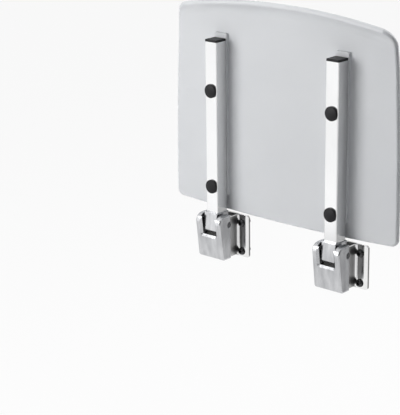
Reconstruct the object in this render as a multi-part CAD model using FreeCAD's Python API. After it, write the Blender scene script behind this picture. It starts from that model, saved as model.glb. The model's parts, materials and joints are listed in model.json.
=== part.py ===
import FreeCAD, Part
import math
import os

# Fold down wall seat, modelled folded up against the wall, in millimetres.
# X runs along the wall, Y points into the wall and Z points up.
# The origin lies on the wall, midway between the two brackets, at mid height of their screw patterns.

V = FreeCAD.Vector
AXIS_X = V(1, 0, 0)
AXIS_Y = V(0, 1, 0)
AXIS_Z = V(0, 0, 1)
OUT_OF_WALL = V(0, -1, 0)

# Where the brackets and the hinge axis lie
bracket_spacing = 250.0
axle_out = 37.0
axle_up = 30.0

# Wall bracket: mirror polished steel flange with two ears
screw_pitch_x = 52.0
screw_pitch_z = 51.0
flange_side_margin = 15.5
flange_top_margin = 15.0
flange_bottom_margin = 10.0
flange_thickness = 3.0
flange_corner_radius = 5.5
flange_edge_round = 0.7
ear_thickness = 2.6
ear_nose_radius = 9.0
ear_root_radius = 5.0
ear_tail_drop = 62.0
ear_step_gap = 1.0
ear_corner_radius = 2.0
foot_height = 5.0
foot_depth = 14.0
bridge_height = 4.5
bridge_depth = 6.0

# Fixing screws of the bracket and their washers
wall_screw_diameter = 8.0
wall_screw_reach = 16.0
wall_screw_neck_diameter = 7.2
wall_screw_lead = 1.0
wall_screw_head_diameter = 12.0
wall_screw_head_height = 4.6
wall_screw_crown_diameter = 7.4
wall_screw_shoulder_diameter = 10.8
wall_screw_shoulder_height = 3.3
wall_screw_skirt_height = 1.2
wall_screw_socket = 5.0
wall_screw_socket_depth = 2.6
wall_screw_clearance = 0.3
wall_washer_diameter = 13.6
wall_washer_thickness = 1.2
spot_face_clearance = 0.15

# Square tube arms
tube_size = 25.0
tube_wall = 2.0
tube_corner_radius = 1.6
tube_length = 292.5
tube_axis_offset = 1.0

# Cast knuckle between tube and axle
knuckle_side_wall = 1.5
knuckle_front_wall = 4.4
knuckle_back_wall = 1.6
knuckle_rise = 21.0
knuckle_drop = 12.5
knuckle_toe_radius = 3.0
knuckle_heel_radius = 12.5
knuckle_edge_round = 1.2
spigot_length = 32.0
spigot_play = 0.2
spigot_lead = 1.5
spigot_core_wall = 3.2

# Axle, bushes and stop buffer
axle_diameter = 10.0
axle_chamfer = 0.8
axle_recess = 0.4
axle_play = 0.05
press_play = 0.02
bush_wall = 1.5
bush_length = 12.0
bush_flange_diameter = 17.0
bush_flange_thickness = 0.7
bush_side_play = 0.05
buffer_thickness = 2.0
buffer_height = 4.0
buffer_half_width = 10.3
buffer_edge_round = 0.65
stop_gap = 0.1

# Cast housing that covers the ears and carries the lower stop
housing_top_width = 54.0
housing_bottom_width = 56.0
housing_top = 17.5
housing_bottom = 60.5
housing_front = 26.9
housing_front_slope = 0.129
housing_rear = 4.0
housing_front_wall = 4.5
housing_floor = 4.0
housing_brow_radius = 13.5
housing_chin_radius = 6.0
housing_edge_round = 3.2
housing_rear_low_round = 1.5
housing_rear_top_round = 3.0
housing_rear_flat = 2.0
housing_cavity_corner = 2.0
housing_ear_play = 0.3
notch_side_play = 0.7
notch_bevel = 3.4
notch_bevel_slope = 1.15
notch_bevel_run_in = 1.0
notch_corner_radius = 1.4
axle_hole_bevel = 1.0

# Screw that ties the housing's floor to the foot between the ears
floor_screw_diameter = 5.0
floor_screw_length = 12.0
floor_screw_head_diameter = 10.0
floor_screw_head_height = 2.8
floor_screw_socket = 2.5
floor_screw_socket_depth = 1.4

# Moulded seat panel
panel_width_rear = 464.0
panel_width_middle = 459.6
panel_width_front = 442.0
panel_depth = 368.1
panel_thickness = 10.0
panel_rear_bow = 7.0
panel_front_bow = 20.0
panel_rear_corner = 12.0
panel_front_corner = 30.0
panel_edge_round = 4.0
panel_rear_rise = 19.0
lip_lead_radius = 320.0
lip_lead_turn = 6.0
lip_radius = 25.0
lip_turn = 50.0
lip_tip_turn = 57.0
rib_height = 5.1
rib_start = 48.5
rib_end_past_cap = 8.0
rib_edge_round = 1.5

# Screws that hold the panel to the tubes, their inserts and their caps
seat_screw_rise = 66.5
seat_screw_pitch = 165.0
seat_screw_diameter = 6.0
seat_screw_head_diameter = 12.0
seat_screw_head_height = 4.0
seat_screw_crown_diameter = 8.4
seat_screw_skirt_height = 2.0
seat_screw_lead = 1.0
seat_screw_clearance = 0.3
seat_washer_diameter = 15.0
seat_washer_thickness = 1.2
insert_diameter = 9.0
insert_length = 11.0
access_hole_diameter = 18.0
cap_diameter = 23.6
cap_height = 5.0
cap_crown = 1.6
cap_edge_radius = 1.4
cap_stem_length = 7.0
cap_stem_wall = 1.6
cap_stem_play = 0.15

# Plug in the open end of each tube
plug_flange_thickness = 4.0
plug_flange_round = 1.0
plug_depth = 14.0
plug_wall = 2.0
plug_end_wall = 1.0
plug_play = 0.1

# Screws that hold the tube on the knuckle's spigot
tube_screw_rise = 14.0
tube_screw_diameter = 4.0
tube_screw_length = 12.0
tube_screw_head_diameter = 7.6
tube_screw_head_height = 1.8
tube_screw_socket = 2.0
tube_screw_socket_depth = 0.9

# Points closer than this count as one, and sizes closer than this count as equal
same_point = 1e-6
same_size = 0.05

# Cuts run this far past the faces they open, and joined shapes this far into each other
overrun = 1.0

# Places that follow from the sizes above
axle_y = -axle_out
axle_z = axle_up
tube_y = axle_y - tube_axis_offset
tube_front = tube_y - tube_size / 2
tube_rear = tube_y + tube_size / 2
tube_inside = tube_size - 2 * tube_wall
shoulder_z = axle_z + knuckle_rise
tube_top = shoulder_z + tube_length
knuckle_half = tube_size / 2 + knuckle_side_wall
knuckle_front = tube_front - knuckle_front_wall
knuckle_rear = tube_rear + knuckle_back_wall
ear_inside = knuckle_half + bush_flange_thickness + bush_side_play
ear_outside = ear_inside + ear_thickness
cavity_half = ear_outside + housing_ear_play
panel_under = tube_rear + rib_height
panel_over = panel_under + panel_thickness
panel_rear_z = axle_z + panel_rear_rise
panel_front_z = panel_rear_z + panel_depth
flange_width = screw_pitch_x + 2 * flange_side_margin
flange_top = screw_pitch_z / 2 + flange_top_margin
flange_bottom = -screw_pitch_z / 2 - flange_bottom_margin
ear_top = axle_z + ear_nose_radius
ear_front = axle_y - ear_nose_radius
housing_top_z = axle_z + housing_top
housing_bottom_z = axle_z - housing_bottom
housing_floor_z = housing_bottom_z + housing_floor
housing_rear_y = axle_y + housing_rear
sill_z = axle_z + (knuckle_front - axle_y) - stop_gap
notch_half = knuckle_half + notch_side_play
buffer_front = knuckle_rear + stop_gap


def block(x0, x1, y0, y1, z0, z1):
    """Rectangular solid between two corners."""
    return Part.makeBox(x1 - x0, y1 - y0, z1 - z0, V(x0, y0, z0))


def rod(start, direction, radius, length):
    """Round solid from a start point along a direction."""
    return Part.makeCylinder(radius, length, start, direction)


def cone(start, direction, radius_start, radius_end, length):
    """Tapered round solid from a start point along a direction."""
    return Part.makeCone(radius_start, radius_end, length, start, direction)


def tangent_points(before, corner, after, radius):
    """Ends and middle of the arc that rounds a corner of a flat outline."""
    to_before = (before - corner).normalize()
    to_after = (after - corner).normalize()
    half_angle = to_before.getAngle(to_after) / 2
    reach = radius / math.tan(half_angle)
    bisector = (to_before + to_after).normalize()
    centre = corner + bisector * (radius / math.sin(half_angle))
    middle = centre - bisector * radius
    return corner + to_before * reach, middle, corner + to_after * reach


def rounded_face(corners, place):
    """Flat face from corners given as (u, v, radius), put in space by place(u, v)."""
    points = [place(u, v) for u, v, _ in corners]
    edges = []
    runs = []
    for index, (_, _, radius) in enumerate(corners):
        before = points[index - 1]
        corner = points[index]
        after = points[(index + 1) % len(points)]
        if radius > 0:
            first, middle, last = tangent_points(before, corner, after, radius)
            edges.append(Part.Arc(first, middle, last).toShape())
        else:
            first = corner
            last = corner
            edges.append(None)
        runs.append((first, last))
    wire_edges = []
    for index, edge in enumerate(edges):
        if edge is not None:
            wire_edges.append(edge)
        leave = runs[index][1]
        arrive = runs[(index + 1) % len(runs)][0]
        if leave.distanceToPoint(arrive) > same_point:
            wire_edges.append(Part.LineSegment(leave, arrive).toShape())
    return Part.Face(Part.Wire(wire_edges))


def side_prism(corners, x0, x1):
    """Outline in the Y-Z plane, carried along X."""
    face = rounded_face(corners, lambda y, z: V(x0, y, z))
    return face.extrude(V(x1 - x0, 0, 0))


def front_prism(corners, y0, y1):
    """Outline in the X-Z plane, carried along Y."""
    face = rounded_face(corners, lambda x, z: V(x, y0, z))
    return face.extrude(V(0, y1 - y0, 0))


def plan_prism(corners, z0, z1):
    """Outline in the X-Y plane, carried along Z."""
    face = rounded_face(corners, lambda x, y: V(x, y, z0))
    return face.extrude(V(0, 0, z1 - z0))


def square_loop(half_x, y_middle, half_y, radius):
    """Corners of a rounded rectangle for plan_prism."""
    return [
        (-half_x, y_middle - half_y, radius),
        (half_x, y_middle - half_y, radius),
        (half_x, y_middle + half_y, radius),
        (-half_x, y_middle + half_y, radius),
    ]


def edges_where(shape, test):
    """Edges whose middle point and direction pass a test."""
    chosen = []
    for edge in shape.Edges:
        if edge.Degenerated:
            continue
        first, last = edge.ParameterRange
        middle = edge.valueAt((first + last) / 2)
        direction = edge.tangentAt((first + last) / 2)
        if test(middle, direction):
            chosen.append(edge)
    return chosen


def near(value, target, slack=same_size):
    """True when two sizes agree."""
    return abs(value - target) < slack


def along(direction, axis):
    """True when a direction runs along an axis, either way."""
    return near(abs(direction.dot(axis)), 1.0)


def turned(profile, centre, axis):
    """Full turn of a closed outline given as (radius, height) about an axis along Y."""
    points = [V(centre.x + radius, centre.y + height, centre.z) for radius, height in profile]
    face = Part.Face(Part.makePolygon(points + [points[0]]))
    return face.revolve(centre, axis, 360)


def wall_bracket():
    """Flange on the wall with two ears that carry the axle."""
    half = flange_width / 2
    radius = flange_corner_radius
    flange = front_prism(
        [(-half, flange_bottom, radius), (half, flange_bottom, radius),
         (half, flange_top, radius), (-half, flange_top, radius)],
        -flange_thickness, 0)
    front_rim = edges_where(flange, lambda m, d: near(m.y, -flange_thickness))
    flange = flange.makeFillet(flange_edge_round, front_rim)
    tail_z = axle_z - ear_tail_drop
    step_y = housing_rear_y + ear_step_gap
    ear_outline = [
        (-flange_thickness / 2, ear_top, 0),
        (-flange_thickness / 2, tail_z, 0),
        (step_y, tail_z, ear_corner_radius),
        (step_y, housing_floor_z, 0),
        (ear_front, housing_floor_z, ear_corner_radius),
        (ear_front, ear_top, ear_nose_radius),
    ]
    bracket = flange
    for side in (-1, 1):
        ear = side_prism(ear_outline, side * ear_inside, side * ear_outside)
        bracket = bracket.fuse(ear)
    bracket = bracket.removeSplitter()
    roots = edges_where(
        bracket,
        lambda m, d: near(abs(m.x), ear_outside) and near(m.y, -flange_thickness) and along(d, AXIS_Z))
    bracket = bracket.makeFillet(ear_root_radius, roots)
    foot = block(-ear_inside, ear_inside, ear_front, ear_front + foot_depth,
                 housing_floor_z, housing_floor_z + foot_height)
    bridge_front = buffer_front + buffer_thickness
    bridge = block(-ear_inside, ear_inside, bridge_front, bridge_front + bridge_depth,
                   ear_top - bridge_height, ear_top - bridge_height + buffer_height)
    bracket = bracket.fuse([foot, bridge]).removeSplitter()
    spot_radius = wall_washer_diameter / 2 + spot_face_clearance
    cuts = [rod(V(-ear_outside - overrun, axle_y, axle_z), AXIS_X,
                axle_diameter / 2 + press_play, 2 * (ear_outside + overrun))]
    for x, z in wall_screw_places():
        cuts.append(rod(V(x, -flange_thickness - ear_root_radius - overrun, z), AXIS_Y,
                        spot_radius, ear_root_radius + overrun))
        cuts.append(rod(V(x, -flange_thickness - overrun, z), AXIS_Y,
                        wall_screw_diameter / 2 + wall_screw_clearance, flange_thickness + 2 * overrun))
    cuts.append(rod(V(0, floor_screw_y(), housing_floor_z - overrun), AXIS_Z,
                    floor_screw_diameter / 2 + press_play, foot_height + 2 * overrun))
    return bracket.cut(cuts)


def wall_screw_places():
    """Middles of the four fixing screws of one bracket."""
    return [(sx * screw_pitch_x / 2, sz * screw_pitch_z / 2) for sx in (-1, 1) for sz in (-1, 1)]


def floor_screw_y():
    """Y of the screw through the housing's floor."""
    return ear_front + foot_depth / 2


def wall_screw(x, z):
    """Round headed screw with a hexagon socket; a neck fits the flange and the shank stands out behind it."""
    seat = -flange_thickness - wall_washer_thickness
    head_radius = wall_screw_head_diameter / 2
    neck_radius = wall_screw_neck_diameter / 2
    shank_radius = wall_screw_diameter / 2
    outline = [
        (0, seat - wall_screw_head_height),
        (wall_screw_crown_diameter / 2, seat - wall_screw_head_height),
        (wall_screw_shoulder_diameter / 2, seat - wall_screw_shoulder_height),
        (head_radius, seat - wall_screw_skirt_height), (head_radius, seat),
        (neck_radius, seat), (neck_radius, 0), (shank_radius, 0),
        (shank_radius, wall_screw_reach - wall_screw_lead),
        (shank_radius - wall_screw_lead, wall_screw_reach), (0, wall_screw_reach),
    ]
    body = turned(outline, V(x, 0, z), AXIS_Y)
    across = wall_screw_socket / math.sqrt(3)
    corners = []
    for index in range(7):
        angle = math.radians(60 * index)
        corners.append(V(x + across * math.cos(angle), seat - wall_screw_head_height - overrun,
                         z + across * math.sin(angle)))
    socket = Part.Face(Part.makePolygon(corners)).extrude(V(0, wall_screw_socket_depth + overrun, 0))
    return body.cut(socket)


def wall_washer(x, z):
    """Flat washer under the head of a fixing screw."""
    start = V(x, -flange_thickness - wall_washer_thickness, z)
    ring = rod(start, AXIS_Y, wall_washer_diameter / 2, wall_washer_thickness)
    hole = rod(start, AXIS_Y, wall_screw_diameter / 2 + wall_screw_clearance, wall_washer_thickness)
    return ring.cut(hole)


def front_face_y(z):
    """Y of the housing's sloping front at a height."""
    return axle_y - housing_front - housing_front_slope * (z - axle_z - housing_top / 2)


def housing():
    """Cast cover over the ears, open at the back and top, with a notch whose sill stops the knuckle."""
    outer = side_prism(
        [(housing_rear_y, housing_bottom_z, housing_rear_low_round),
         (front_face_y(housing_bottom_z), housing_bottom_z, housing_chin_radius),
         (front_face_y(housing_top_z), housing_top_z, housing_brow_radius),
         (housing_rear_y, housing_top_z, housing_rear_top_round)],
        -housing_top_width, housing_top_width)
    taper = front_prism(
        [(-housing_bottom_width / 2, housing_bottom_z, 0), (housing_bottom_width / 2, housing_bottom_z, 0),
         (housing_top_width / 2, housing_top_z, 0), (-housing_top_width / 2, housing_top_z, 0)],
        2 * front_face_y(housing_top_z), 0)
    body = outer.common(taper)
    rims = []
    for face in body.Faces:
        if along(face.normalAt(0, 0), AXIS_X):
            rims.extend(edges_where(face, lambda m, d: m.y < housing_rear_y - housing_rear_flat))
    body = body.makeFillet(housing_edge_round, rims)
    past_top = housing_top_z + overrun
    past_rear = housing_rear_y + overrun
    cavity = side_prism(
        [(past_rear, housing_floor_z, 0),
         (front_face_y(housing_floor_z) + housing_front_wall, housing_floor_z, housing_cavity_corner),
         (front_face_y(past_top) + housing_front_wall, past_top, 0),
         (past_rear, past_top, 0)],
        -cavity_half, cavity_half)
    body = body.cut(cavity)
    notch = front_prism(
        notch_corners(notch_half, sill_z, notch_corner_radius),
        2 * front_face_y(housing_top_z), housing_rear_y - housing_front / 2)
    body = body.cut(notch).cut(notch_flare())
    holes = [rod(V(-housing_top_width, axle_y, axle_z), AXIS_X,
                 axle_diameter / 2 + press_play, 2 * housing_top_width)]
    for side in (-1, 1):
        mouth = V(side * (housing_side(axle_z) + overrun), axle_y, axle_z)
        holes.append(cone(mouth, V(-side, 0, 0), axle_diameter / 2 + axle_hole_bevel + overrun,
                          axle_diameter / 2, axle_hole_bevel + overrun))
    screw_bottom = V(0, floor_screw_y(), housing_bottom_z)
    holes.append(rod(screw_bottom, AXIS_Z, floor_screw_diameter / 2 + press_play, housing_floor))
    holes.append(cone(screw_bottom, AXIS_Z, floor_screw_head_diameter / 2 + press_play,
                      floor_screw_diameter / 2 + press_play, floor_screw_head_height))
    return body.cut(holes)


def housing_side(z):
    """Half width of the housing at a height."""
    share = (z - housing_bottom_z) / (housing_top_z - housing_bottom_z)
    return (housing_bottom_width + (housing_top_width - housing_bottom_width) * share) / 2


def notch_corners(half, bottom, radius):
    """Outline of the notch, open past the housing's top."""
    top = housing_top_z + housing_brow_radius
    return [(-half, bottom, radius), (half, bottom, radius), (half, top, 0), (-half, top, 0)]


def notch_flare():
    """Bevel round the notch: a tapered cut that follows the sloping front."""
    wires = []
    for depth in (notch_bevel + notch_bevel_run_in, -notch_bevel):
        spread = notch_bevel - depth
        corners = notch_corners(notch_half + spread * notch_bevel_slope, sill_z - spread * notch_bevel_slope,
                                notch_corner_radius + spread * notch_bevel_slope)
        face = rounded_face(corners, lambda x, z: V(x, front_face_y(z) + depth, z))
        wires.append(face.OuterWire)
    return Part.makeLoft(wires, True, True)


def floor_screw():
    """Countersunk screw up through the housing's floor into the foot."""
    start = V(0, floor_screw_y(), housing_bottom_z)
    head = cone(start, AXIS_Z, floor_screw_head_diameter / 2, floor_screw_diameter / 2,
                floor_screw_head_height)
    shank = rod(start, AXIS_Z, floor_screw_diameter / 2, floor_screw_length)
    socket = rod(start, AXIS_Z, floor_screw_socket / 2, floor_screw_socket_depth)
    return head.fuse(shank).removeSplitter().cut(socket)


def knuckle():
    """Cast end of an arm: a block that turns on the axle and a spigot inside the tube."""
    block_part = side_prism(
        [(knuckle_front, shoulder_z, 0), (knuckle_front, axle_z - knuckle_drop, knuckle_toe_radius),
         (knuckle_rear, axle_z - knuckle_drop, knuckle_heel_radius), (knuckle_rear, shoulder_z, 0)],
        -knuckle_half, knuckle_half)
    rims = edges_where(
        block_part,
        lambda m, d: near(abs(m.x), knuckle_half) or near(m.z, shoulder_z))
    block_part = block_part.makeFillet(knuckle_edge_round, rims)
    spigot_half = tube_inside / 2 - spigot_play
    spigot = plan_prism(
        square_loop(spigot_half, tube_y, spigot_half, tube_corner_radius),
        shoulder_z - overrun, shoulder_z + spigot_length)
    top_rim = edges_where(spigot, lambda m, d: near(m.z, shoulder_z + spigot_length))
    spigot = spigot.makeChamfer(spigot_lead, top_rim)
    core_half = spigot_half - spigot_core_wall
    core = plan_prism(
        square_loop(core_half, tube_y, core_half, tube_corner_radius),
        shoulder_z + spigot_core_wall, shoulder_z + spigot_length + overrun)
    solid = block_part.fuse(spigot).removeSplitter()
    bore = rod(V(-knuckle_half - overrun, axle_y, axle_z), AXIS_X, bush_radius() + press_play,
               2 * (knuckle_half + overrun))
    screw_hole = rod(V(0, tube_rear + overrun, tube_screw_z()), OUT_OF_WALL,
                     tube_screw_diameter / 2 + press_play, tube_screw_length + overrun)
    return solid.cut([core, bore, screw_hole])


def bush_radius():
    """Outer radius of the bush in the knuckle."""
    return axle_diameter / 2 + axle_play + bush_wall


def tube_screw_z():
    """Height of the screw that holds a tube on its spigot."""
    return shoulder_z + tube_screw_rise


def axle():
    """Plain steel axle pressed into the ears."""
    half = housing_side(axle_z) - axle_recess
    shaft = rod(V(-half, axle_y, axle_z), AXIS_X, axle_diameter / 2, 2 * half)
    ends = edges_where(shaft, lambda m, d: near(abs(m.x), half))
    return shaft.makeChamfer(axle_chamfer, ends)


def bush(side):
    """Flanged plastic bush in one end of the knuckle's bore."""
    outer_x = side * (knuckle_half + bush_flange_thickness)
    inward = V(-side, 0, 0)
    flange = rod(V(outer_x, axle_y, axle_z), inward, bush_flange_diameter / 2, bush_flange_thickness)
    sleeve = rod(V(outer_x, axle_y, axle_z), inward, bush_radius(), bush_flange_thickness + bush_length)
    bore = rod(V(outer_x + side * overrun, axle_y, axle_z), inward, axle_diameter / 2 + axle_play,
               bush_flange_thickness + bush_length + 2 * overrun)
    return flange.fuse(sleeve).removeSplitter().cut(bore)


def stop_buffer():
    """Rubber buffer on the bridge, where the knuckle's back comes to rest."""
    low = ear_top - bridge_height
    pad = block(-buffer_half_width, buffer_half_width, buffer_front, buffer_front + buffer_thickness,
                low, low + buffer_height)
    front_rim = edges_where(pad, lambda m, d: near(m.y, buffer_front))
    return pad.makeFillet(buffer_edge_round, front_rim)


def seat_screw_heights():
    """Heights of the two panel screws of one arm."""
    low = axle_z + seat_screw_rise
    return (low, low + seat_screw_pitch)


def arm_tube():
    """Square tube with access holes in front and screw holes behind."""
    outer = plan_prism(
        square_loop(tube_size / 2, tube_y, tube_size / 2, tube_corner_radius), shoulder_z, tube_top)
    inner = plan_prism(
        square_loop(tube_inside / 2, tube_y, tube_inside / 2, tube_corner_radius / 2),
        shoulder_z - overrun, tube_top + overrun)
    cuts = [inner]
    for z in seat_screw_heights():
        cuts.append(rod(V(0, tube_front - overrun, z), AXIS_Y, access_hole_diameter / 2,
                        tube_wall + 2 * overrun))
        cuts.append(rod(V(0, tube_rear + overrun, z), OUT_OF_WALL,
                        seat_screw_diameter / 2 + seat_screw_clearance, tube_wall + 2 * overrun))
    screw_start = V(0, tube_rear, tube_screw_z())
    cuts.append(cone(screw_start, OUT_OF_WALL, tube_screw_head_diameter / 2 + press_play,
                     tube_screw_diameter / 2 + press_play, tube_screw_head_height))
    cuts.append(rod(screw_start, OUT_OF_WALL, tube_screw_diameter / 2 + press_play, tube_wall + overrun))
    return outer.cut(cuts)


def tube_screw():
    """Countersunk screw from the tube's back into the spigot."""
    start = V(0, tube_rear, tube_screw_z())
    head = cone(start, OUT_OF_WALL, tube_screw_head_diameter / 2, tube_screw_diameter / 2,
                tube_screw_head_height)
    shank = rod(start, OUT_OF_WALL, tube_screw_diameter / 2, tube_screw_length)
    socket = rod(start, OUT_OF_WALL, tube_screw_socket / 2, tube_screw_socket_depth)
    return head.fuse(shank).removeSplitter().cut(socket)


def tube_plug():
    """Plug in the tube's open end: a square flange and a hollow stem."""
    flange = plan_prism(
        square_loop(tube_size / 2, tube_y, tube_size / 2, tube_corner_radius),
        tube_top, tube_top + plug_flange_thickness)
    top_rim = edges_where(flange, lambda m, d: near(m.z, tube_top + plug_flange_thickness))
    flange = flange.makeFillet(plug_flange_round, top_rim)
    stem_half = tube_inside / 2 - plug_play
    stem = plan_prism(
        square_loop(stem_half, tube_y, stem_half, tube_corner_radius / 2), tube_top - plug_depth, tube_top)
    core_half = stem_half - plug_wall
    core = plan_prism(
        square_loop(core_half, tube_y, core_half, tube_corner_radius / 2),
        tube_top - plug_depth - overrun, tube_top - plug_end_wall)
    return flange.fuse(stem).removeSplitter().cut(core)


def screw_cap(z):
    """Round cap with a crowned face and a hollow stem in the tube's access hole."""
    face_y = tube_front - cap_height
    radius = cap_diameter / 2
    stem_radius = access_hole_diameter / 2 - cap_stem_play
    rim_y = face_y + cap_crown + cap_edge_radius
    crown_radius = radius - cap_edge_radius
    crown = Part.Arc(V(0, face_y, z), V(crown_radius / 2, face_y + cap_crown / 4, z),
                     V(crown_radius, face_y + cap_crown, z)).toShape()
    edge_middle = cap_edge_radius * (1 - math.sqrt(0.5))
    edge = Part.Arc(V(crown_radius, face_y + cap_crown, z),
                    V(radius - edge_middle, rim_y - cap_edge_radius + edge_middle, z),
                    V(radius, rim_y, z)).toShape()
    corners = [
        V(radius, rim_y, z), V(radius, tube_front, z), V(stem_radius, tube_front, z),
        V(stem_radius, tube_front + cap_stem_length, z),
        V(stem_radius - cap_stem_wall, tube_front + cap_stem_length, z),
        V(stem_radius - cap_stem_wall, tube_front - cap_stem_wall, z),
        V(0, tube_front - cap_stem_wall, z), V(0, face_y, z),
    ]
    edges = [crown, edge]
    for first, last in zip(corners[:-1], corners[1:]):
        edges.append(Part.LineSegment(first, last).toShape())
    return Part.Face(Part.Wire(edges)).revolve(V(0, 0, z), AXIS_Y, 360)


def seat_screw(z):
    """Pan head screw through the tube's back wall into the panel's insert."""
    seat = tube_rear - tube_wall - seat_washer_thickness
    head_radius = seat_screw_head_diameter / 2
    shank_radius = seat_screw_diameter / 2
    tip = panel_insert_end() - seat_screw_lead
    outline = [
        (0, seat - seat_screw_head_height), (seat_screw_crown_diameter / 2, seat - seat_screw_head_height),
        (head_radius, seat - seat_screw_skirt_height), (head_radius, seat), (shank_radius, seat),
        (shank_radius, tip - seat_screw_lead), (shank_radius - seat_screw_lead, tip), (0, tip),
    ]
    return turned(outline, V(0, 0, z), AXIS_Y)


def seat_washer(z):
    """Flat washer between a panel screw's head and the tube's back wall."""
    start = V(0, tube_rear - tube_wall - seat_washer_thickness, z)
    ring = rod(start, AXIS_Y, seat_washer_diameter / 2, seat_washer_thickness)
    hole = rod(start, AXIS_Y, seat_screw_diameter / 2 + seat_screw_clearance, seat_washer_thickness)
    return ring.cut(hole)


def panel_insert_end():
    """Y where the threaded inserts end inside the panel."""
    return tube_rear + insert_length


def panel_insert(z):
    """Threaded brass insert moulded into the panel's rib."""
    sleeve = rod(V(0, tube_rear, z), AXIS_Y, insert_diameter / 2, insert_length)
    bore = rod(V(0, tube_rear, z), AXIS_Y, seat_screw_diameter / 2 + press_play, insert_length)
    return sleeve.cut(bore)


def panel_outline():
    """Seat outline in the X-Z plane: bowed rear and front edges joined by nearly straight sides."""
    rear_half = panel_width_rear / 2
    front_half = panel_width_front / 2
    rear_side = panel_rear_z + panel_rear_bow
    front_side = panel_front_z - panel_front_bow
    start = panel_under - lip_radius - panel_thickness
    rear = Part.Arc(V(-rear_half, start, rear_side), V(0, start, panel_rear_z),
                    V(rear_half, start, rear_side)).toShape()
    middle_half = panel_width_middle / 2
    middle_z = (rear_side + front_side) / 2
    right = Part.Arc(V(rear_half, start, rear_side), V(middle_half, start, middle_z),
                     V(front_half, start, front_side)).toShape()
    front = Part.Arc(V(front_half, start, front_side), V(0, start, panel_front_z),
                     V(-front_half, start, front_side)).toShape()
    left = Part.Arc(V(-front_half, start, front_side), V(-middle_half, start, middle_z),
                    V(-rear_half, start, rear_side)).toShape()
    prism = Part.Face(Part.Wire([rear, right, front, left])).extrude(
        V(0, panel_over + overrun - start, 0))
    rear_corners = edges_where(
        prism, lambda m, d: along(d, AXIS_Y) and near(m.z, rear_side) and near(abs(m.x), rear_half))
    prism = prism.makeFillet(panel_rear_corner, rear_corners)
    front_corners = edges_where(
        prism, lambda m, d: along(d, AXIS_Y) and near(m.z, front_side) and near(abs(m.x), front_half))
    return prism.makeFillet(panel_front_corner, front_corners)


def panel_sheet():
    """Flat sheet that eases into a tight front lip along the bowed front edge."""
    bow_half = panel_width_front / 2
    bow_radius = (bow_half ** 2 + panel_front_bow ** 2) / (2 * panel_front_bow)
    centre_z = panel_front_z - bow_radius
    lead = math.radians(lip_lead_turn)
    turn = math.radians(lip_turn)
    tip = math.radians(lip_tip_turn)
    tight_z = panel_front_z - (lip_radius + panel_thickness) * math.sin(turn)
    lead_z = tight_z - (lip_lead_radius - lip_radius) * math.sin(lead)
    lead_y = panel_under - lip_lead_radius
    tight_y = lead_y + (lip_lead_radius - lip_radius) * math.cos(lead)

    def lead_point(offset, angle):
        radius = lip_lead_radius + offset
        return V(0, lead_y + radius * math.cos(angle), lead_z + radius * math.sin(angle))

    def tight_point(offset, angle):
        radius = lip_radius + offset
        return V(0, tight_y + radius * math.cos(angle), tight_z + radius * math.sin(angle))

    low_z = panel_rear_z - panel_rear_bow - panel_thickness
    edges = [Part.LineSegment(V(0, panel_over, low_z), V(0, panel_under, low_z)).toShape()]
    ends = []
    for offset in (0, panel_thickness):
        flat_y = panel_under + offset
        run = Part.LineSegment(V(0, flat_y, low_z), lead_point(offset, 0)).toShape()
        ease = Part.Arc(lead_point(offset, 0), lead_point(offset, lead / 2), lead_point(offset, lead)).toShape()
        bend = Part.Arc(tight_point(offset, lead), tight_point(offset, (lead + tip) / 2),
                        tight_point(offset, tip)).toShape()
        edges.extend([run, ease, bend])
        ends.append(tight_point(offset, tip))
    edges.append(Part.LineSegment(ends[0], ends[1]).toShape())
    face = Part.Face(Part.Wire(Part.__sortEdges__(edges)))
    reach = math.degrees(math.asin((panel_width_rear / 2 + panel_thickness) / (low_z - centre_z)))
    sheet = face.revolve(V(0, 0, centre_z), AXIS_Y, 2 * reach)
    sheet.rotate(V(0, 0, centre_z), AXIS_Y, -reach)
    return sheet


def seat_panel():
    """Moulded seat with a turned down front lip and two ribs where the arms lie."""
    panel = panel_sheet().common(panel_outline())
    panel = panel.makeFillet(panel_edge_round, panel.Edges)
    rib_low = axle_z + rib_start
    rib_high = tube_top + plug_flange_thickness + rib_end_past_cap
    for side in (-1, 1):
        middle = side * bracket_spacing / 2
        half = tube_size / 2
        rib = block(middle - half, middle + half, tube_rear, panel_under + overrun, rib_low, rib_high)
        rim = edges_where(rib, lambda m, d: along(d, AXIS_Y) or near(m.y, tube_rear) and along(d, AXIS_X))
        rib = rib.makeFillet(rib_edge_round, rim)
        panel = panel.fuse(rib)
    cuts = []
    for side in (-1, 1):
        for z in seat_screw_heights():
            cuts.append(rod(V(side * bracket_spacing / 2, tube_rear - overrun, z), AXIS_Y,
                            insert_diameter / 2 + press_play, insert_length + overrun))
    return panel.cut(cuts)


def moved(shape, x):
    """Copy of a shape carried along the wall."""
    copy = shape.copy()
    copy.translate(V(x, 0, 0))
    return copy


def save(shape, node):
    """Check one sub-part and write it to its own file."""
    solids = shape.Solids
    if not solids or not shape.isValid():
        raise ValueError(node + " is not a sound solid")
    group = solids[0] if len(solids) == 1 else Part.makeCompound(solids)
    group.exportStep(os.path.join("parts", node + ".step"))
    box = shape.BoundBox
    print("%-24s %d solid(s) %9.0f mm3  X %.1f..%.1f  Y %.1f..%.1f  Z %.1f..%.1f" % (
        node, len(solids), shape.Volume, box.XMin, box.XMax, box.YMin, box.YMax, box.ZMin, box.ZMax))


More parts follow.
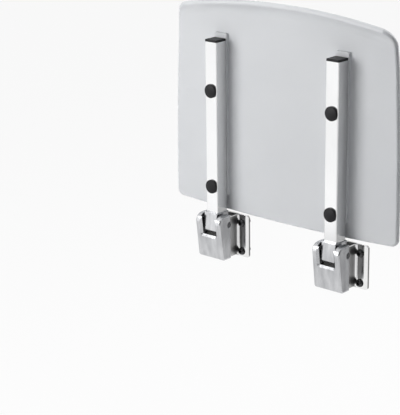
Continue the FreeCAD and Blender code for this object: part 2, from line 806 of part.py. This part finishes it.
def build():
    """Make every piece and write it in its place."""
    os.makedirs("parts", exist_ok=True)
    heights = seat_screw_heights()
    pieces_per_arm = {
        "wall_bracket": wall_bracket(),
        "hinge_housing": housing(),
        "axle_pin": axle(),
        "axle_bushes": Part.makeCompound([bush(-1), bush(1)]),
        "stop_buffer": stop_buffer(),
        "knuckle": knuckle(),
        "arm_tube": arm_tube(),
        "tube_plug": tube_plug(),
    }
    for node, shape in pieces_per_arm.items():
        save(moved(shape, -bracket_spacing / 2), node + "_left")
        save(moved(shape, bracket_spacing / 2), node + "_right")
    shared = {
        "wall_screws": [wall_screw(x, z) for x, z in wall_screw_places()],
        "wall_screw_washers": [wall_washer(x, z) for x, z in wall_screw_places()],
        "screw_caps": [screw_cap(z) for z in heights],
        "seat_screws": [seat_screw(z) for z in heights],
        "seat_screw_washers": [seat_washer(z) for z in heights],
        "panel_inserts": [panel_insert(z) for z in heights],
        "tube_screws": [tube_screw()],
        "housing_screws": [floor_screw()],
    }
    for node, shapes in shared.items():
        group = [moved(shape, side * bracket_spacing / 2) for side in (-1, 1) for shape in shapes]
        save(Part.makeCompound(group), node)
    save(seat_panel(), "seat_panel")


build()
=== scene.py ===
import json
import math

import bpy
from mathutils import Matrix, Vector

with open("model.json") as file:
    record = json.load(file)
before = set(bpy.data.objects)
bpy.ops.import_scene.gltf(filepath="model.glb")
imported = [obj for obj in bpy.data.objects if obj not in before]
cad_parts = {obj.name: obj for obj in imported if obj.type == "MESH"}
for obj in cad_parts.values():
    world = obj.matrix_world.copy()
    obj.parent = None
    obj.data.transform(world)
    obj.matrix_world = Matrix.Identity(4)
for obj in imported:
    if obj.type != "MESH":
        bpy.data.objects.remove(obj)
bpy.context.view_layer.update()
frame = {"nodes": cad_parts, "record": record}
scene = bpy.context.scene

# Camera, from a fit to the photograph, in metres, degrees and pixels
CAMERA_PLACE = (1.52855, -1.91914, 0.83714)
CAMERA_YAW = 41.98
CAMERA_PITCH = 17.31
CAMERA_ROLL = -0.76
CAMERA_FOCAL_PX = 1540.45
CAMERA_CLIP = (0.05, 60.0)
IMAGE_LONG_SIDE_PX = 415
SENSOR_MM = 36.0

# The range that a noise texture mostly stays in
NOISE_LOW, NOISE_HIGH = 0.3, 0.7

# Wall brackets, in metres: half their spacing, then distances across from the middle of each
HINGE_HALF_SPACING = 0.125
EAR_REACH = 0.0178
ROLL_START = 0.020
FLANGE_EDGE = 0.0409
# The flange falls away past ROLL_START by this times the distance cubed
ROLL_RATE = 500.0
# Tone and roughness of the ears, and what the flange's face and its side edges add to them; what
# the side edges add is painted shade, a darker tone standing in for their dark reflection
EAR_TONE = (0.56, 0.60)
EAR_ROUGHNESS = (0.30, 0.36)
FACE_TONE = 0.27
FACE_ROUGHNESS = -0.25
EDGE_PAINTED_SHADE = -0.50

# Finishes: name, dark and light tone, lowest and highest roughness
TURNED_METALS = (
    ("screw_steel", (0.05, 0.05, 0.053), (0.09, 0.09, 0.094), 0.20, 0.34),
    ("axle_steel", (0.09, 0.09, 0.094), (0.14, 0.14, 0.145), 0.18, 0.30),
    ("insert_brass", (0.55, 0.38, 0.14), (0.66, 0.47, 0.18), 0.25, 0.38),
)
PLAIN_PLASTICS = (
    ("black_plastic", (0.007, 0.007, 0.008), (0.013, 0.013, 0.015), 0.40, 0.55),
    ("bush_plastic", (0.66, 0.64, 0.58), (0.72, 0.70, 0.64), 0.40, 0.5),
    ("buffer_rubber", (0.016, 0.016, 0.016), (0.026, 0.026, 0.026), 0.6, 0.75),
)

# Floor, in metres, and its glow for the camera and for reflections
FLOOR_Z = -0.42
FLOOR_HALF = 8.0
FLOOR_GLOW = 0.98
FLOOR_GLOW_SHARE = 0.95

# World: fill for diffuse light, and how far reflections dim towards the right
FILL_COLOUR = (0.95, 0.97, 1.0)
FILL_STRENGTH = 0.16
DIM_FROM, DIM_TO = -0.1, 0.9
DIM_LEVEL = 0.16

# Square lights: name, place, target, side, power in watts, and whether reflections show them
LIGHTS = (
    ("key", (-0.85, -1.55, 0.64), (0, 0, 0.15), 1.1, 22.2, True),
    ("overhead", (0, 0.2, 2.2), (0, 0.1, 0), 0.9, 23.0, False),
    ("back", (0.5, 1.6, 0.9), (0, 0, 0.15), 1.0, 20.0, False),
    ("top", (-1.2, -1.06, 1.24), (0.1, -0.05, 0.0), 0.5, 0.4, True),
)

# Cards for the housings' sides, the arms' fronts and the bends of the ears:
# name, place, target, width, height and tone
CARDS = (
    ("dark_card", (0.75, 0.45, -0.05), (0, 0, 0.0), 1.0, 0.7, 0.45),
    ("tube_card", (-0.40, -0.50, 0.08), (0.0, -0.06, 0.20), 0.50, 0.46, 1.08),
    ("bend_card", (0.70, -0.62, -0.29), (0.03, -0.02, 0.0), 0.28, 0.34, 0.50),
)
# Lightest part of a card over its darkest part
CARD_VARIATION = 1.3

# Cards for the corner between flange and ear: heading in degrees, width and tone
CORNER_CARDS = ((302.0, 0.38, 0.02), (328.0, 0.13, 0.26))
CORNER_FROM_HINGE = (0.03, -0.02)
CORNER_CARD_REACH = 0.48
CORNER_CARD_Z = -0.15
CORNER_CARD_HEIGHT = 0.34


class Graph:
    """Short hand for building a node material."""

    def __init__(self, name):
        self.material = bpy.data.materials.new(name)
        self.material.use_nodes = True
        self.tree = self.material.node_tree
        self.tree.nodes.clear()
        self.output = self.tree.nodes.new("ShaderNodeOutputMaterial")

    def node(self, kind, **values):
        """New node, with its properties or else its inputs set by name."""
        made = self.tree.nodes.new(kind)
        for key, value in values.items():
            if hasattr(made, key):
                setattr(made, key, value)
            else:
                made.inputs[key.replace("_", " ")].default_value = value
        return made

    def link(self, source, target):
        self.tree.links.new(source, target)

    def place(self, scale=(1, 1, 1)):
        """Object coordinates in metres, stretched by scale."""
        coordinates = self.node("ShaderNodeTexCoord")
        mapping = self.node("ShaderNodeMapping", Scale=scale)
        self.link(coordinates.outputs["Object"], mapping.inputs["Vector"])
        return mapping.outputs["Vector"]

    def noise(self, scale, detail, stretch=(1, 1, 1)):
        made = self.node("ShaderNodeTexNoise", Scale=scale, Detail=detail)
        self.link(self.place(stretch), made.inputs["Vector"])
        return made.outputs["Fac"]

    def spread(self, value, low, high):
        """Map a noise value to a range."""
        made = self.node("ShaderNodeMapRange")
        made.inputs["From Min"].default_value = NOISE_LOW
        made.inputs["From Max"].default_value = NOISE_HIGH
        made.inputs["To Min"].default_value = low
        made.inputs["To Max"].default_value = high
        self.link(value, made.inputs["Value"])
        return made.outputs["Result"]

    def tint(self, value, dark, light):
        """Colour between two tones, driven by a 0 to 1 value."""
        made = self.node("ShaderNodeMix", data_type="RGBA")
        made.inputs[6].default_value = (*dark, 1.0)
        made.inputs[7].default_value = (*light, 1.0)
        self.link(value, made.inputs[0])
        return made.outputs[2]

    def maths(self, operation, first, second=None):
        """One sum on a value, with a number or another value."""
        made = self.node("ShaderNodeMath", operation=operation)
        self.link(first, made.inputs[0])
        if hasattr(second, "links"):
            self.link(second, made.inputs[1])
        elif second is not None:
            made.inputs[1].default_value = second
        return made.outputs[0]

    def bump(self, value, distance, strength=1.0):
        """Normal from a height value, its distance in metres."""
        made = self.node("ShaderNodeBump", Strength=strength, Distance=distance)
        self.link(value, made.inputs["Height"])
        return made.outputs["Normal"]

    def surface(self, colour, roughness, normal, **sockets):
        """Finish with a principled shader and return the material."""
        shader = self.node("ShaderNodeBsdfPrincipled")
        for key, value in sockets.items():
            shader.inputs[key.replace("_", " ")].default_value = value
        self.link(colour, shader.inputs["Base Color"])
        self.link(roughness, shader.inputs["Roughness"])
        self.link(normal, shader.inputs["Normal"])
        self.link(shader.outputs["BSDF"], self.output.inputs["Surface"])
        return self.material

    def blend(self, share, first, second):
        """Finish with a mix of two shaders and return the material."""
        mix = self.node("ShaderNodeMixShader")
        self.link(share, mix.inputs["Fac"])
        self.link(first, mix.inputs[1])
        self.link(second, mix.inputs[2])
        self.link(mix.outputs["Shader"], self.output.inputs["Surface"])
        return self.material


def seat_plastic():
    """Pale moulded plastic with a very soft grain."""
    g = Graph("seat_plastic")
    cloud = g.noise(9.0, 2.0)
    grain = g.noise(2600.0, 2.0)
    colour = g.tint(g.spread(cloud, 0.0, 1.0), (0.635, 0.647, 0.665), (0.66, 0.671, 0.687))
    roughness = g.spread(grain, 0.30, 0.38)
    return g.surface(colour, roughness, g.bump(grain, 0.00002, 0.5), IOR=1.5)


def arm_aluminium():
    """Satin extrusion with fine lines along its length."""
    g = Graph("arm_aluminium")
    lines = g.noise(900.0, 3.0, (1.0, 1.0, 0.012))
    cloud = g.noise(14.0, 2.0)
    colour = g.tint(g.spread(cloud, 0.0, 1.0), (0.72, 0.723, 0.727), (0.76, 0.762, 0.766))
    roughness = g.spread(lines, 0.12, 0.175)
    return g.surface(colour, roughness, g.bump(lines, 0.00002, 0.6), Metallic=1.0)


def satin_chrome():
    """Plated casting with faint upright streaks in its polish."""
    g = Graph("satin_chrome")
    cloud = g.noise(90.0, 3.0, (1.0, 1.0, 0.3))
    fine = g.noise(1500.0, 2.0, (1.0, 1.0, 0.1))
    colour = g.tint(g.spread(cloud, 0.0, 1.0), (0.46, 0.465, 0.48), (0.64, 0.645, 0.66))
    roughness = g.spread(cloud, 0.17, 0.26)
    return g.surface(colour, roughness, g.bump(fine, 0.00002, 0.4), Metallic=1.0)


def polished_steel():
    """Satin ears and a mirror polished flange that rolls off towards its side edges, which carry
    painted shade: a darker tone standing in for their dark reflection.
    """
    g = Graph("polished_steel")
    ripple = g.noise(35.0, 1.0)
    fine = g.noise(1200.0, 2.0, (1.0, 1.0, 0.2))
    split = g.node("ShaderNodeSeparateXYZ")
    g.link(g.place(), split.inputs["Vector"])
    across = g.maths("ABSOLUTE", split.outputs["X"])
    across = g.maths("ABSOLUTE", g.maths("SUBTRACT", across, HINGE_HALF_SPACING))
    on_face = g.maths("GREATER_THAN", across, EAR_REACH)
    # Painted shade: the flange's side edges are darkened in colour, standing in for their dark
    # reflection
    painted_edge_shade = g.maths("GREATER_THAN", across, FLANGE_EDGE)
    tone = g.maths("ADD", g.spread(ripple, *EAR_TONE), g.maths("MULTIPLY", on_face, FACE_TONE))
    tone = g.maths("ADD", tone, g.maths("MULTIPLY", painted_edge_shade, EDGE_PAINTED_SHADE))
    polish = g.maths("MULTIPLY", on_face, FACE_ROUGHNESS)
    roughness = g.maths("ADD", g.spread(fine, *EAR_ROUGHNESS), polish)
    past = g.maths("MAXIMUM", g.maths("SUBTRACT", across, ROLL_START), 0.0)
    drop = g.maths("MULTIPLY", g.maths("POWER", past, 3.0), -ROLL_RATE)
    rolled = g.bump(drop, 1.0)
    rippled = g.bump(ripple, 0.0004, 0.5)
    g.link(rolled, rippled.node.inputs["Normal"])
    return g.surface(tone, roughness, rippled, Metallic=1.0)


def turned_metal(name, dark, light, low, high):
    """Turned metal of a screw, axle or insert."""
    g = Graph(name)
    rings = g.noise(700.0, 3.0, (1.0, 0.1, 1.0))
    colour = g.tint(g.spread(rings, 0.0, 1.0), dark, light)
    roughness = g.spread(rings, low, high)
    return g.surface(colour, roughness, g.bump(rings, 0.00003, 0.4), Metallic=1.0)


def plain_plastic(name, dark, light, low, high):
    """Moulded plastic or rubber with a fine grain and little shine."""
    g = Graph(name)
    grain = g.noise(1400.0, 3.0)
    colour = g.tint(g.spread(grain, 0.0, 1.0), dark, light)
    roughness = g.spread(grain, low, high)
    return g.surface(colour, roughness, g.bump(grain, 0.00004, 0.6), Specular_IOR_Level=0.2)


def dress_cad():
    """Give every CAD node the material of its slot."""
    materials = {
        "seat_plastic": seat_plastic(),
        "arm_aluminium": arm_aluminium(),
        "satin_chrome": satin_chrome(),
        "polished_steel": polished_steel(),
    }
    for row in TURNED_METALS:
        materials[row[0]] = turned_metal(*row)
    for row in PLAIN_PLASTICS:
        materials[row[0]] = plain_plastic(*row)
    for entry in frame["record"]["subparts"]:
        mesh = frame["nodes"][entry["node"]].data
        mesh.materials.clear()
        mesh.materials.append(materials[entry["material_slot"]])


def make_camera():
    """Camera at the photograph's viewing angle."""
    yaw, pitch, roll = (math.radians(a) for a in (CAMERA_YAW, CAMERA_PITCH, CAMERA_ROLL))
    forward = Vector((-math.sin(yaw) * math.cos(pitch),
                      math.cos(yaw) * math.cos(pitch), -math.sin(pitch)))
    right = Vector((math.cos(yaw), math.sin(yaw), 0.0))
    up = right.cross(forward)
    turned_right = right * math.cos(roll) + up * math.sin(roll)
    turned_up = up * math.cos(roll) - right * math.sin(roll)
    data = bpy.data.cameras.new("camera")
    data.sensor_width = SENSOR_MM
    data.lens = CAMERA_FOCAL_PX * SENSOR_MM / IMAGE_LONG_SIDE_PX
    data.clip_start, data.clip_end = CAMERA_CLIP
    camera = bpy.data.objects.new("camera", data)
    scene.collection.objects.link(camera)
    rotation = Matrix((turned_right, turned_up, -forward)).transposed().to_4x4()
    camera.matrix_world = Matrix.Translation(CAMERA_PLACE) @ rotation
    scene.camera = camera


def aim(thing, place, target):
    """Put a light or card at a place, facing a target."""
    thing.rotation_mode = "QUATERNION"
    thing.rotation_quaternion = (Vector(target) - Vector(place)).to_track_quat("-Z", "Y")
    thing.location = place


def area_light(name, place, target, side, power, mirrored):
    """Square soft light; one that is not mirrored leaves no highlight on metal."""
    data = bpy.data.lights.new(name, "AREA")
    data.size = side
    data.energy = power
    lamp = bpy.data.objects.new(name, data)
    lamp.visible_glossy = mirrored
    scene.collection.objects.link(lamp)
    aim(lamp, place, target)


def sheet(name, half_width, half_height, z=0.0):
    """New flat rectangle at a height."""
    mesh = bpy.data.meshes.new(name)
    signs = ((-1, -1), (1, -1), (1, 1), (-1, 1))
    corners = [(sx * half_width, sy * half_height, z) for sx, sy in signs]
    mesh.from_pydata(corners, [], [(0, 1, 2, 3)])
    made = bpy.data.objects.new(name, mesh)
    scene.collection.objects.link(made)
    return made


def reflector(name, place, target, width, height, tone, bounces=1):
    """Card that shows only in reflections, from so many bounces on, as a studio flag does."""
    card = sheet(name, width / 2, height / 2)
    aim(card, place, target)
    g = Graph(name)
    glow = g.node("ShaderNodeEmission", Strength=1.0)
    colour = g.tint(g.noise(2.0, 1.0), (tone,) * 3, (tone * CARD_VARIATION,) * 3)
    g.link(colour, glow.inputs["Color"])
    clear = g.node("ShaderNodeBsdfTransparent")
    path = g.node("ShaderNodeLightPath")
    shown = g.maths("GREATER_THAN", path.outputs["Glossy Depth"], bounces - 0.5)
    card.data.materials.append(g.blend(shown, clear.outputs["BSDF"], glow.outputs["Emission"]))
    card.visible_camera = False
    card.visible_diffuse = False
    card.visible_shadow = False


def corner_cards():
    """Cards that show in the corner between each flange and its ear, at the second bounce."""
    for hinge_x in (-HINGE_HALF_SPACING, HINGE_HALF_SPACING):
        corner = (hinge_x + CORNER_FROM_HINGE[0], CORNER_FROM_HINGE[1], 0.0)
        for angle, width, tone in CORNER_CARDS:
            turn = math.radians(angle)
            place = (corner[0] + CORNER_CARD_REACH * math.cos(turn),
                     corner[1] + CORNER_CARD_REACH * math.sin(turn), CORNER_CARD_Z)
            reflector("corner_card", place, corner, width, CORNER_CARD_HEIGHT, tone, bounces=2)


def make_world():
    """White for the camera, dimming to the right for reflections, a low fill for diffuse light."""
    world = bpy.data.worlds.new("studio")
    scene.world = world
    world.use_nodes = True
    nodes, links = world.node_tree.nodes, world.node_tree.links
    nodes.clear()

    def background(colour=(1.0, 1.0, 1.0), strength=1.0):
        made = nodes.new("ShaderNodeBackground")
        made.inputs["Color"].default_value = (*colour, 1.0)
        made.inputs["Strength"].default_value = strength
        return made

    def choose(share, first, second):
        mix = nodes.new("ShaderNodeMixShader")
        links.new(share, mix.inputs["Fac"])
        links.new(first, mix.inputs[1])
        links.new(second, mix.inputs[2])
        return mix.outputs["Shader"]

    direction = nodes.new("ShaderNodeTexCoord")
    split = nodes.new("ShaderNodeSeparateXYZ")
    links.new(direction.outputs["Generated"], split.inputs["Vector"])
    side = nodes.new("ShaderNodeMapRange")
    side.interpolation_type = "SMOOTHSTEP"
    side.inputs["From Min"].default_value = DIM_FROM
    side.inputs["From Max"].default_value = DIM_TO
    side.inputs["To Min"].default_value = 1.0
    side.inputs["To Max"].default_value = DIM_LEVEL
    links.new(split.outputs["X"], side.inputs["Value"])
    white = background().outputs["Background"]
    fill = background(FILL_COLOUR, FILL_STRENGTH).outputs["Background"]
    mirror = background()
    links.new(side.outputs["Result"], mirror.inputs["Color"])
    path = nodes.new("ShaderNodeLightPath")
    unseen = choose(path.outputs["Is Glossy Ray"], fill, mirror.outputs["Background"])
    every = choose(path.outputs["Is Camera Ray"], unseen, white)
    links.new(every, nodes.new("ShaderNodeOutputWorld").inputs["Surface"])


def make_floor():
    """Plain pale floor that keeps the object's shadow."""
    floor = sheet("floor", FLOOR_HALF, FLOOR_HALF, FLOOR_Z)
    g = Graph("floor")
    shader = g.node("ShaderNodeBsdfDiffuse")
    colour = g.tint(g.noise(3.0, 2.0), (0.93, 0.93, 0.93), (0.95, 0.95, 0.95))
    g.link(colour, shader.inputs["Color"])
    glow = g.node("ShaderNodeEmission", Strength=FLOOR_GLOW)
    path = g.node("ShaderNodeLightPath")
    seen = g.maths("MAXIMUM", path.outputs["Is Camera Ray"], path.outputs["Is Glossy Ray"])
    share = g.maths("MULTIPLY", seen, FLOOR_GLOW_SHARE)
    floor.data.materials.append(g.blend(share, shader.outputs["BSDF"], glow.outputs["Emission"]))


dress_cad()
make_camera()
make_world()
make_floor()
for light in LIGHTS:
    area_light(*light)
for card in CARDS:
    reflector(*card)
corner_cards()
scene.view_settings.view_transform = "Standard"
